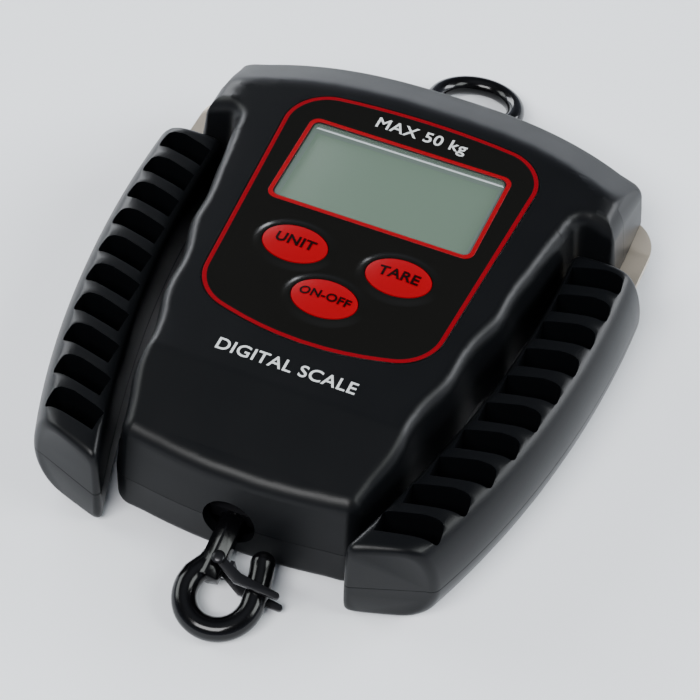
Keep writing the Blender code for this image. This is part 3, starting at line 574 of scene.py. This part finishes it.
def make_covers():
    front, rear = body_shells()
    px, py = ARM_PIVOT
    for x, y in screw_places():
        cut(rear, upright(x, y, -1, 12, SCREW_R + GAP, 24))
        cut(rear, upright(x, y, -1, HEAD_DEPTH + 0.4, HEAD_R + GAP, 40))
    for side in (-1, 1):
        x = side * px
        join(front, upright(x, py, SEAM_Z + 0.6, 19.0, 3.9, 32))
        join(rear, upright(x, py, WALL - 0.6, SEAM_Z - 0.6, 3.9, 32))
        cut(front, arm_clearance(side), upright(x, py, 9, 17, PIVOT_R + GAP, 24))
        cut(rear, arm_clearance(side), upright(x, py, 3.6, 10, PIVOT_R + GAP, 24))
    for shell in (front, rear):
        cut(shell, rod((0, BOTTOM_Y - 5, SEAM_Z), (0, BOTTOM_Y + 5, SEAM_Z), HOOK_HOLE_R, 64))
        cut(shell, rod((0, TOP_Y - 5, SEAM_Z), (0, TOP_Y + 5, SEAM_Z), RING_HOLE_R, 64))
    cut(front, prism(overlay_outline(0.12), DEPTH - OVERLAY_THICK - 0.05, DEPTH + 1))
    cut(front, prism(rounded_box((0, DISPLAY_Y), WINDOW, WINDOW_ROUND), DEPTH - WALL - 2, DEPTH + 1))
    for place in BUTTONS.values():
        cut(front, button_hole(place))
    cut(rear, box((-DOOR_HALF - 0.2, DOOR_HALF + 0.2), (DOOR_Y[0] - 0.2, DOOR_Y[1] + 0.2), (-1, 5)))
    join(rear, box((-5, 5), (DOOR_Y[1] - 5, DOOR_Y[1] + 4), (DOOR_THICK + GAP, 4.3)))
    cut(rear, upright(0, DOOR_Y[1] - 3.4, 0, 5, 0.9, 24))
    even(add(round_edges(front, 0.14, 2, 60), "front_shell", "housing", "housing", ["front_cover"]))
    even(add(round_edges(rear, 0.14, 2, 60), "rear_shell", "housing", "housing", ["rear_cover"]))


# ------------------------------------------------------------------ face

def overlay_outline(grow=0.0):
    corner = OVERLAY_CORNER
    half = [(x, OVERLAY_TOP + grow - 0.003 * x * x) for x in (0, 4, 8, 12, 16)]
    half += arc((OVERLAY_HALF_TOP - corner, OVERLAY_TOP - 1.1 - corner), corner + grow, 80, 2, 14)
    half += arc((OVERLAY_HALF_BOTTOM - corner, -12.9), corner + grow, -3, -74, 14)
    half += [(x, OVERLAY_BOTTOM - grow + 0.008 * x * x) for x in (16.5, 13, 9, 5, 0)]
    return mirrored(half)


def button_hole(place, low=DEPTH - WALL - 2):
    a, b = BUTTON_HALF
    return prism(ellipse(place, a + 0.15, b + 0.15), low, DEPTH + 1)


def hoop(place, half, section):
    """A closed oval band; its section is given as outward distance and height pairs."""
    loops = [ellipse(place, half[0] + out, half[1] + out) for out, _ in section]
    heights = [z for _, z in section]
    bm = bmesh.new()
    rings = [[bm.verts.new((x, y, z)) for x, y in loop] for loop, z in zip(loops, heights)]
    for a, b in zip(rings, rings[1:] + rings[:1]):
        for i in range(len(a)):
            j = (i + 1) % len(a)
            bm.faces.new((a[i], a[j], b[j], b[i]))
    return add_mesh(bm)


def line_frame(outline, out, wide, rise):
    """A printed line that follows an outline, inset by a distance."""
    return prism(inset(outline, out), DEPTH - 0.05, DEPTH + rise, hole=inset(outline, out + wide))


def make_overlay():
    window = rounded_box((0, DISPLAY_Y), WINDOW, WINDOW_ROUND)
    overlay = prism(overlay_outline(), DEPTH - OVERLAY_THICK, DEPTH)
    cut(overlay, prism(window, DEPTH - 2, DEPTH + 1))
    for place in BUTTONS.values():
        cut(overlay, button_hole(place))
    round_edges(overlay, 0.08, 1, 60)
    add(overlay, "panel", "housing", "overlay", ["graphic_overlay"])
    for name, place in BUTTONS.items():
        out = RING_HALF[0] - BUTTON_HALF[0]
        rise = [(0.15 + (out - 0.15) * t, DEPTH - 0.02 + 0.2 * (1 + math.cos(math.pi * t))) for t in
                (0, 0.12, 0.25, 0.38, 0.5, 0.62, 0.75, 0.88, 1)]
        ring = hoop(place, BUTTON_HALF, [(0.15, DEPTH - 0.2)] + rise + [(out, DEPTH - 0.2)])
        add(ring, name + "_key_surround", "housing", "overlay")
    border = line_frame(overlay_outline(), BORDER_INSET, BORDER_WIDE, 0.04)
    add(border, "panel_border", "housing", "red_line")
    grown = rounded_box((0, DISPLAY_Y), (WINDOW[0] + 1.9, WINDOW[1] + 1.9), WINDOW_ROUND + 0.6)
    frame_line = prism(mirrored_way(grown), DEPTH - 0.05, DEPTH + 0.1, hole=mirrored_way(window))
    add(round_edges(frame_line, 0.04, 1, 60), "display_frame", "housing", "frame_line")
    add(word("MAX 50 kg", (0.3, 39.0), 4.3, flat_top), "capacity_words", "housing", "white_print")
    add(word("DIGITAL SCALE", (0.0, -32.3), 4.2, flat_top), "type_words", "housing", "white_print")


def mirrored_way(outline):
    """The same outline, run through the other way round."""
    return list(reversed(outline))


def flat_top(x, y):
    return DEPTH - face_drop(x, y)


def word(text, centre, size, top, weight=0.011):
    """Raised lettering that follows a surface."""
    curve = bpy.data.curves.new("word", "FONT")
    curve.body = text
    curve.size = size * MM
    curve.extrude = 0.03 * MM
    curve.offset = weight * size * MM
    curve.space_character = 1.06
    curve.align_x = curve.align_y = "CENTER"
    obj = solid_from(curve)
    for v in obj.data.vertices:
        x, y = v.co.x / MM + centre[0], v.co.y / MM + centre[1]
        v.co = Vector((x, y, top(x, y) + 0.01 + v.co.z / MM)) * MM
    return obj


def make_display():
    size = (WINDOW[0] - 2 * GAP, WINDOW[1] - 2 * GAP)
    pane = prism(rounded_box((0, DISPLAY_Y), size, WINDOW_ROUND - GAP), DEPTH - 1.2, DEPTH - 0.1)
    add(round_edges(pane, 0.2, 2, 60), "display_pane", "housing", "window", ["display_window"])
    glass_z = DEPTH - 1.3
    module = box((-25, 25), (DISPLAY_Y - 14.5, DISPLAY_Y + 14.5), (BOARD_TOP_Z + GAP, DEPTH - WALL - GAP))
    inner = (WINDOW[0] - 1.2, WINDOW[1] - 1.2)
    join(module, prism(rounded_box((0, DISPLAY_Y), inner, WINDOW_ROUND - 0.6), DEPTH - WALL - 1, glass_z))
    add(round_edges(module, 0.15, 2, 60), "lcd", "housing", "lcd", ["lcd_module"])
    window = rounded_box((0, DISPLAY_Y), WINDOW, WINDOW_ROUND)
    # Painted shade: a lilac-grey band round the display's edge stands for the shadow the window frame casts
    # onto the LCD
    painted_shade_band = prism(mirrored_way(inset(mirrored_way(window), 0.02)), glass_z - 1.0, glass_z + 0.06,
                  hole=rounded_box((0, DISPLAY_Y), (WINDOW[0] - 2.4, WINDOW[1] - 2.4), WINDOW_ROUND - 0.6))
    add(painted_shade_band, "display_painted_shade_band", "housing", "lcd_painted_shade")
    half, edge = WINDOW[0] / 2, DISPLAY_Y + WINDOW[1] / 2
    rim = prism([(-half + 1.0, edge - 0.5), (half - 1.0, edge - 0.5), (half - 0.6, edge - 0.95),
                 (-half + 0.6, edge - 0.95)], glass_z - 0.3, glass_z + 0.12)
    add(round_edges(rim, 0.05, 2, 60), "display_rim", "housing", "lcd_rim")
    # Painted shadow: a lilac-grey strip under the white rim stands for the shade the window's top edge casts
    # on the LCD
    shade = prism([(-half + 0.9, edge - 1.0), (half - 0.9, edge - 1.0), (half - 1.0, edge - 2.1),
                   (-half + 1.0, edge - 2.1)], glass_z - 0.3, glass_z + 0.03)
    add(shade, "display_painted_shadow", "housing", "lcd_painted_shade")


def dome(share):
    """Height of a key's top at a share of its half width."""
    return DEPTH + 0.45 + (BUTTON_RISE - 0.45) * (1 - min(share, 1.0) ** 2.4)


def make_button(name, place):
    a, b = BUTTON_HALF
    x, y = place
    shares = (0.03, 0.15, 0.3, 0.45, 0.6, 0.72, 0.82, 0.9, 0.955)
    profile = [(a * s, dome(s) - WORD_PROUD) for s in shares]
    profile += [(a * 0.985, DEPTH + 0.42), (a, DEPTH + 0.25), (a, SKIRT_Z), (a + 1, SKIRT_Z),
                (a + 1, SKIRT_Z - 0.8)]
    cap = turned(x, y, profile, 64, stretch=b / a)
    key = name + "_key"
    add(cap, name + "_cap", key, "button", [name + "_button"])
    text, size = WORDS[name]
    label = word(text, (x, y + 0.2), size, lambda px, py: dome(math.hypot((px - x) / a, (py - y) / b)), 0.025)
    add(label, name + "_word", key, "dark_word")


# ------------------------------------------------------------------ ring and hook

def make_hook():
    """The hook is built pointing along -Y from its pin, with its bowl to the right."""
    hook = rod((0, -3.1, 0), (0, -8.0, 0), NECK_R, 32)
    shank = round_edges(rod((0, -6.7, 0), (0, -HEX_END, 0), HEX_R, 6), 0.22, 2, 30)
    x, s = BOWL
    bowl = arc((x, -s), BOWL_R, 172, 364, 40)
    lead = [(-0.2, -15.0), (-0.8, -17.2), (-1.8, -18.9), (-2.6, -20.2)]
    tip = [(x + BOWL_R - 0.25, -20.4), (x + BOWL_R - 0.55, -18.0), (x + BOWL_R - 1.0, -15.8),
           (x + BOWL_R - 1.6, -13.6)]
    heights = [-0.2, -0.2, -0.15, -0.05]
    points = [(px, py, heights[i] if i < 4 else 0) for i, (px, py) in enumerate(lead + bowl + tip)]
    join(hook, wire(points, HOOK_WIRE_R), ball(points[-1], HOOK_WIRE_R))
    x, s = LATCH_PIVOT
    hole = rod((x, -s, -9), (x, -s, 9), RIVET_R + 0.1, 24)
    cut(join(hook, shank), hole)
    add(drooping(hook, HOOK_PIN_Y, HOOK_DROOP), "hook_body", "load_hook", "hook", ["hook"])


def ball(place, radius):
    bm = bmesh.new()
    bmesh.ops.create_uvsphere(bm, u_segments=32, v_segments=16, radius=radius,
                              matrix=Matrix.Translation(place))
    return add_mesh(bm)


def latch_arm(z):
    """One flat arm of the latch, from its rivet to its rounded free end."""
    x0, s0 = LATCH_PIVOT
    x1, s1 = LATCH_END
    heading = math.degrees(math.atan2(s0 - s1, x1 - x0))
    half = LATCH_WIDE / 2
    outline = arc((x0, -s0), half, heading + 270, heading + 90, 20)
    outline += [(x0 + 5.5, -s0 - 2.4 + half)]
    outline += arc((x1, -s1), half * 0.8, heading + 90, heading - 90, 16)
    outline += [(x0 + 4.8, -s0 - 2.8 - half)]
    return round_edges(prism(outline, *z), 0.12, 2, 60)


def make_latch():
    low, high = LATCH_Z
    latch = join(latch_arm((low, high)), latch_arm((-high, -low)))
    x, s = LATCH_PIVOT
    join(latch, box((x + 2.5, x + 3.3), (-s - 0.8, -s + 0.4), (-high + 0.2, high - 0.2)))
    cut(latch, rod((x, -s, -9), (x, -s, 9), RIVET_R + 0.1, 24))
    add(drooping(latch, HOOK_PIN_Y, HOOK_DROOP), "latch_strip", "latch", "latch", ["hook_latch"])
    head = [(1.4 * math.sin(t), 4.0 + 0.5 * math.cos(t)) for t in (0.02, 0.4, 0.8, 1.2, 1.57)]
    rivet = turned(x, -s, head + [(1.4, 3.75), (RIVET_R, 3.75), (RIVET_R, -4.6), (1.3, -4.6), (1.3, -4.9),
                                  (1.1, -5.0)], 32)
    add(drooping(rivet, HOOK_PIN_Y, HOOK_DROOP), "rivet", "load_hook", "latch", ["latch_rivet"])


def make_ring():
    loop = [(x, y, 0) for x, y in ellipse((0, RING_CENTRE), RING_R, RING_R, 96)]
    ring = wire(loop, RING_WIRE_R, closed=True)
    root = turned(0, 0, [(RING_WIRE_R * 0.8, 10.2), (RING_WIRE_R, 9.8), (RING_WIRE_R, -0.4),
                         (RING_WIRE_R - 0.3, -0.8)], 32)
    root.data.transform(Matrix.Translation((0, 7.5 * MM, 0)) @ Matrix.Rotation(-math.pi / 2, 4, "X"))
    join(ring, root, rod((0, 3.1, 0), (0, 8.0, 0), NECK_R, 32))
    add(drooping(ring, RING_PIN_Y, -RING_DROOP), "ring_body", "ring", "hook", ["top_ring"])


# ------------------------------------------------------------------ handles

def handle_in(y):
    return HANDLE_IN - HANDLE_IN_BOW * (y - HANDLE_IN_Y) ** 2


def handle_out(y):
    return HANDLE_OUT - HANDLE_OUT_BOW * (y - HANDLE_OUT_Y) ** 2


def handle_section(y):
    """Section of the right handle, as across and height pairs."""
    a, b = handle_in(y), handle_out(y)
    low, high = HANDLE_Z
    rough = [(a, 10), (a, high - 2.4), (a + 0.7, high - 0.5), (a + 2.4, high), (b - 8.4, high + 0.05),
             (b - 6.0, high - 0.3), (b - 3.8, high - 1.3), (b - 1.9, 18.6), (b - 0.6, 14.6), (b + 0.05, 10),
             (b - 0.2, 6.4), (b - 1.5, 3.1), (b - 4.0, 1.0), (b - 6.6, low),
             (a + 2.4, low), (a + 0.6, low + 0.5), (a, low + 2.2)]
    return smoothed(rough, 2)


def handle_block():
    """The right handle's solid, its ends rounded by shrinking their sections."""
    bottom, top = HANDLE_Y
    turns = [math.radians(90 - 15 * i) for i in range(7)]
    shrunk = [HANDLE_END_ROUND * (1 - math.cos(t)) for t in turns]
    inward = [HANDLE_END_ROUND * (1 - math.sin(t)) for t in turns]
    stations = [(top - s, d, 0.0) for s, d in zip(inward, shrunk)]
    stations += [(y, 0.0, HANDLE_TILT * max(0, (-20 - y) / 40) ** 2) for y in range(20, -58, -3)]
    stations += [(bottom + 1.8 + s, d, HANDLE_TILT) for s, d in zip(reversed(inward), reversed(shrunk))]
    middle_z, half_z = sum(HANDLE_Z) / 2, (HANDLE_Z[1] - HANDLE_Z[0]) / 2
    sections = []
    for y, d, tilt in stations:
        centre, half = (handle_in(y) + handle_out(y)) / 2, (handle_out(y) - handle_in(y)) / 2
        section = []
        for x, z in handle_section(y):
            px = centre + (x - centre) * (1 - d / half)
            pz = middle_z + (z - middle_z) * (1 - d / half_z)
            section.append((px, y + tilt * (x - centre), pz))
        sections.append(section)
    return loft(sections)


def grip_slot(i):
    """A pocket across the handle's face, rounded at its upper outer corner."""
    y = SLOT_TOP - SLOT_PITCH * i
    a, b = handle_in(y) + 1.2, handle_out(y) - 4.2
    rise = SLOT_RISE * (b - a)
    outer = smoothed([(b - 4.5, y + rise - 0.5), (b - 0.6, y + rise - 0.3), (b, y + rise - 2.6),
                      (b, y + rise - SLOT_LONG), (b - 2.0, y + rise - SLOT_LONG - 0.3)], 3, closed=False)
    return prism([(a, y)] + outer + [(a, y - SLOT_LONG)], SLOT_FLOOR_Z, HANDLE_Z[1] + 5)


def tongue_clearance():
    low, high = ARM_Z[0] - GAP, ARM_Z[1] + GAP
    return box((ARM_IN - GAP, ARM_PIVOT[0] + ARM_R + GAP), (ARM_TIP_Y - GAP, 30), (low, high))


def rear_hollow():
    """Room inside the rear shell of the handle."""
    sections = []
    for y in (1, -8, -20, -32, -44, -54):
        a, b = handle_in(y) + WALL, handle_out(y) - WALL - 1
        sections.append([(a, y, HANDLE_Z[0] + WALL), (a, y, 12), (b, y, 12), (b - 3, y, HANDLE_Z[0] + WALL)])
    return loft(sections)


def handle_screws():
    for y in (14.0, -50.0):
        yield (handle_in(y) + handle_out(y)) / 2, y


def make_handle():
    """The right handle's two shells."""
    front, rear = handle_block(), handle_block()
    cut(front, box((-FAR, FAR), (-FAR, FAR), (-FAR, SEAM_Z + SEAM_GAP / 2)))
    cut(rear, box((-FAR, FAR), (-FAR, FAR), (SEAM_Z - SEAM_GAP / 2, FAR)))
    for i in range(SLOTS):
        cut(front, grip_slot(i))
    cut(front, tongue_clearance())
    cut(rear, tongue_clearance(), rear_hollow())
    x, y = list(handle_screws())[1]
    join(rear, upright(x, y, HANDLE_Z[0] + 1, SEAM_Z - GAP / 2, 2.9, 24))
    for x, y in handle_screws():
        cut(rear, upright(x, y, -1, 12, SCREW_R + GAP, 24))
        cut(rear, upright(x, y, -1, HANDLE_Z[0] + HEAD_DEPTH + 2 * GAP, HEAD_R + GAP, 32))
    return round_edges(front, 0.25, 2, 50), round_edges(rear, 0.12, 2, 60)


def make_arm():
    px, py = ARM_PIVOT
    arm = upright(px, py, *ARM_Z, ARM_R, 96)
    join(arm, box((ARM_IN, px + ARM_R), (ARM_TIP_Y, py), ARM_Z))
    cut(arm, upright(px, py, 0, 20, PIVOT_R + 0.15, 32))
    x, y = next(handle_screws())
    cut(arm, upright(x, y, 0, 20, SCREW_R + GAP, 24))
    return round_edges(arm, 0.2, 2, 60)


def screw(x, y, low, high, head=HEAD_DEPTH, shank=SCREW_R):
    """A screw, head down, with a cross cut in its head."""
    obj = turned(x, y, ((shank - 0.3, high), (shank, high - 0.4), (shank, low + head), (HEAD_R, low + head),
                        (HEAD_R, low + 0.35), (HEAD_R - 0.15, low + 0.12), (HEAD_R - 0.5, low)), 32)
    deep = min(0.8, head * 0.6)
    for half_x, half_y in ((0.35, 1.6), (1.6, 0.35)):
        cut(obj, box((x - half_x, x + half_x), (y - half_y, y + half_y), (low - 1, low + deep)))
    return obj


def make_handles():
    front, rear = make_handle()
    arm = make_arm()
    screws = [screw(x, y, HANDLE_Z[0] + 0.3, 12.0) for x, y in handle_screws()]
    for side, turn in (("left", mirror_copy), ("right", copy_of)):
        body = side + "_handle"
        add(turn(front), side + "_grip_front", body, "grip", [side + "_handle_front"])
        add(turn(rear), side + "_grip_rear", body, "grip", [side + "_handle_rear"])
        add(turn(arm), side + "_arm_plate", body, "bare_steel", [side + "_arm"])
        for i, piece in enumerate(screws):
            node = f"{side}_handle_screw_{i + 1}"
            add(turn(piece), f"{side}_grip_screw_{i + 1}", body, "steel", [node])
    for piece in (front, rear, arm, *screws):
        bpy.data.objects.remove(piece, do_unlink=True)


# ------------------------------------------------------------------ back

def make_back():
    door = round_edges(box((-DOOR_HALF, DOOR_HALF), DOOR_Y, (0, DOOR_THICK)), 0.25, 2, 60)
    y = DOOR_Y[1] - 3.4
    cut(door, upright(0, y, -1, 3, 0.9 + GAP, 24), upright(0, y, -1, 1.0, HEAD_R + GAP, 32))
    for i in range(5):
        line = DOOR_Y[0] + 5.0 + 2.0 * i
        cut(door, prism(rounded_box((0, line), (16.0, 1.0), 0.45, 4), -1, 0.5))
    add(door, "battery_hatch", "housing", "housing", ["battery_door"])
    add(screw(0, y, 0.1, 4.0, 0.7, 0.8), "hatch_screw", "housing", "steel", ["door_screw"])
    for i, (x, sy) in enumerate(screw_places()):
        node = f"cover_screw_{i + 1}"
        add(screw(x, sy, 0.2, 17.0), f"shell_screw_{i + 1}", "housing", "steel", [node])


def finish_inner_nodes():
    """Give the pieces that keep their CAD shape this file's materials."""
    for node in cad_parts.values():
        for place in node.material_slots:
            place.material = materials[place.material.name.split(".")[0]]


# ------------------------------------------------------------------ camera, floor and light

# Sine of the elevation, and the room's colour there
WORLD_STOPS = ((0.0, (0.50, 0.55, 0.68, 1)), (0.2, (0.27, 0.30, 0.38, 1)), (0.42, (0.09, 0.10, 0.12, 1)),
               (0.80, (0.07, 0.075, 0.085, 1)), (0.93, (0.25, 0.27, 0.31, 1)), (1.0, (0.40, 0.43, 0.48, 1)))

# Place, size, power and colour of each studio light
LIGHTS = {
    "key": ((-0.15, -1.0, 1.2), (0.9, 0.6), 31, (1.0, 1.0, 1.0)),
    "back_right": ((1.13, 0.92, 0.5), (1.0, 0.45), 24, (0.93, 0.96, 1.0)),
    "right": ((1.0, 0.1, 0.85), (0.6, 0.6), 9, (0.95, 1.0, 0.98)),
    "left": ((-1.1, 0.0, 0.65), (0.6, 0.6), 7, (0.95, 1.0, 0.98)),
    "back_left": ((-1.13, 0.92, 0.45), (1.0, 0.45), 19, (0.93, 0.96, 1.0)),
}


def add_camera():
    data = bpy.data.cameras.new("camera")
    data.lens = 126.9
    data.sensor_width = 36.0
    camera = link(bpy.data.objects.new("camera", data))
    camera.location = (0.1231, -0.3223, 0.3982)
    camera.rotation_euler = [math.radians(a) for a in (40.79, -1.81, 22.83)]
    bpy.context.scene.camera = camera


def add_floor():
    bpy.ops.mesh.primitive_plane_add(size=4.0)
    floor = bpy.context.object
    floor.name = "floor"
    floor.data.materials.append(material("floor", (0.88, 0.90, 0.94), 0.9))


def softbox(name, place, size, power, colour):
    """A rectangular light that points at the origin."""
    data = bpy.data.lights.new(name, "AREA")
    data.shape = "RECTANGLE"
    data.size, data.size_y = size
    data.energy = power
    data.color = colour
    lamp = link(bpy.data.objects.new(name, data))
    lamp.location = place
    lamp.rotation_euler = (-Vector(place)).to_track_quat("-Z", "Y").to_euler()


def add_world():
    """A dim room, brighter near the horizon."""
    world = bpy.data.worlds.new("world")
    world.use_nodes = True
    nodes, links = world.node_tree.nodes, world.node_tree.links
    place = nodes.new("ShaderNodeTexCoord")
    split = nodes.new("ShaderNodeSeparateXYZ")
    ramp = nodes.new("ShaderNodeValToRGB")
    links.new(place.outputs["Generated"], split.inputs["Vector"])
    links.new(split.outputs["Z"], ramp.inputs["Fac"])
    links.new(ramp.outputs["Color"], nodes["Background"].inputs["Color"])
    first, last = ramp.color_ramp.elements
    first.position, first.color = WORLD_STOPS[0]
    last.position, last.color = WORLD_STOPS[-1]
    for position, colour in WORLD_STOPS[1:-1]:
        ramp.color_ramp.elements.new(position).color = colour
    nodes["Background"].inputs["Strength"].default_value = 1.0
    bpy.context.scene.world = world


make_covers()
make_overlay()
make_display()
for label, spot in BUTTONS.items():
    make_button(label, spot)
make_hook()
make_latch()
make_ring()
make_handles()
make_back()
finish_inner_nodes()
add_camera()
add_floor()
add_world()
for label, (spot, size, power, colour) in LIGHTS.items():
    softbox(label, spot, size, power, colour)
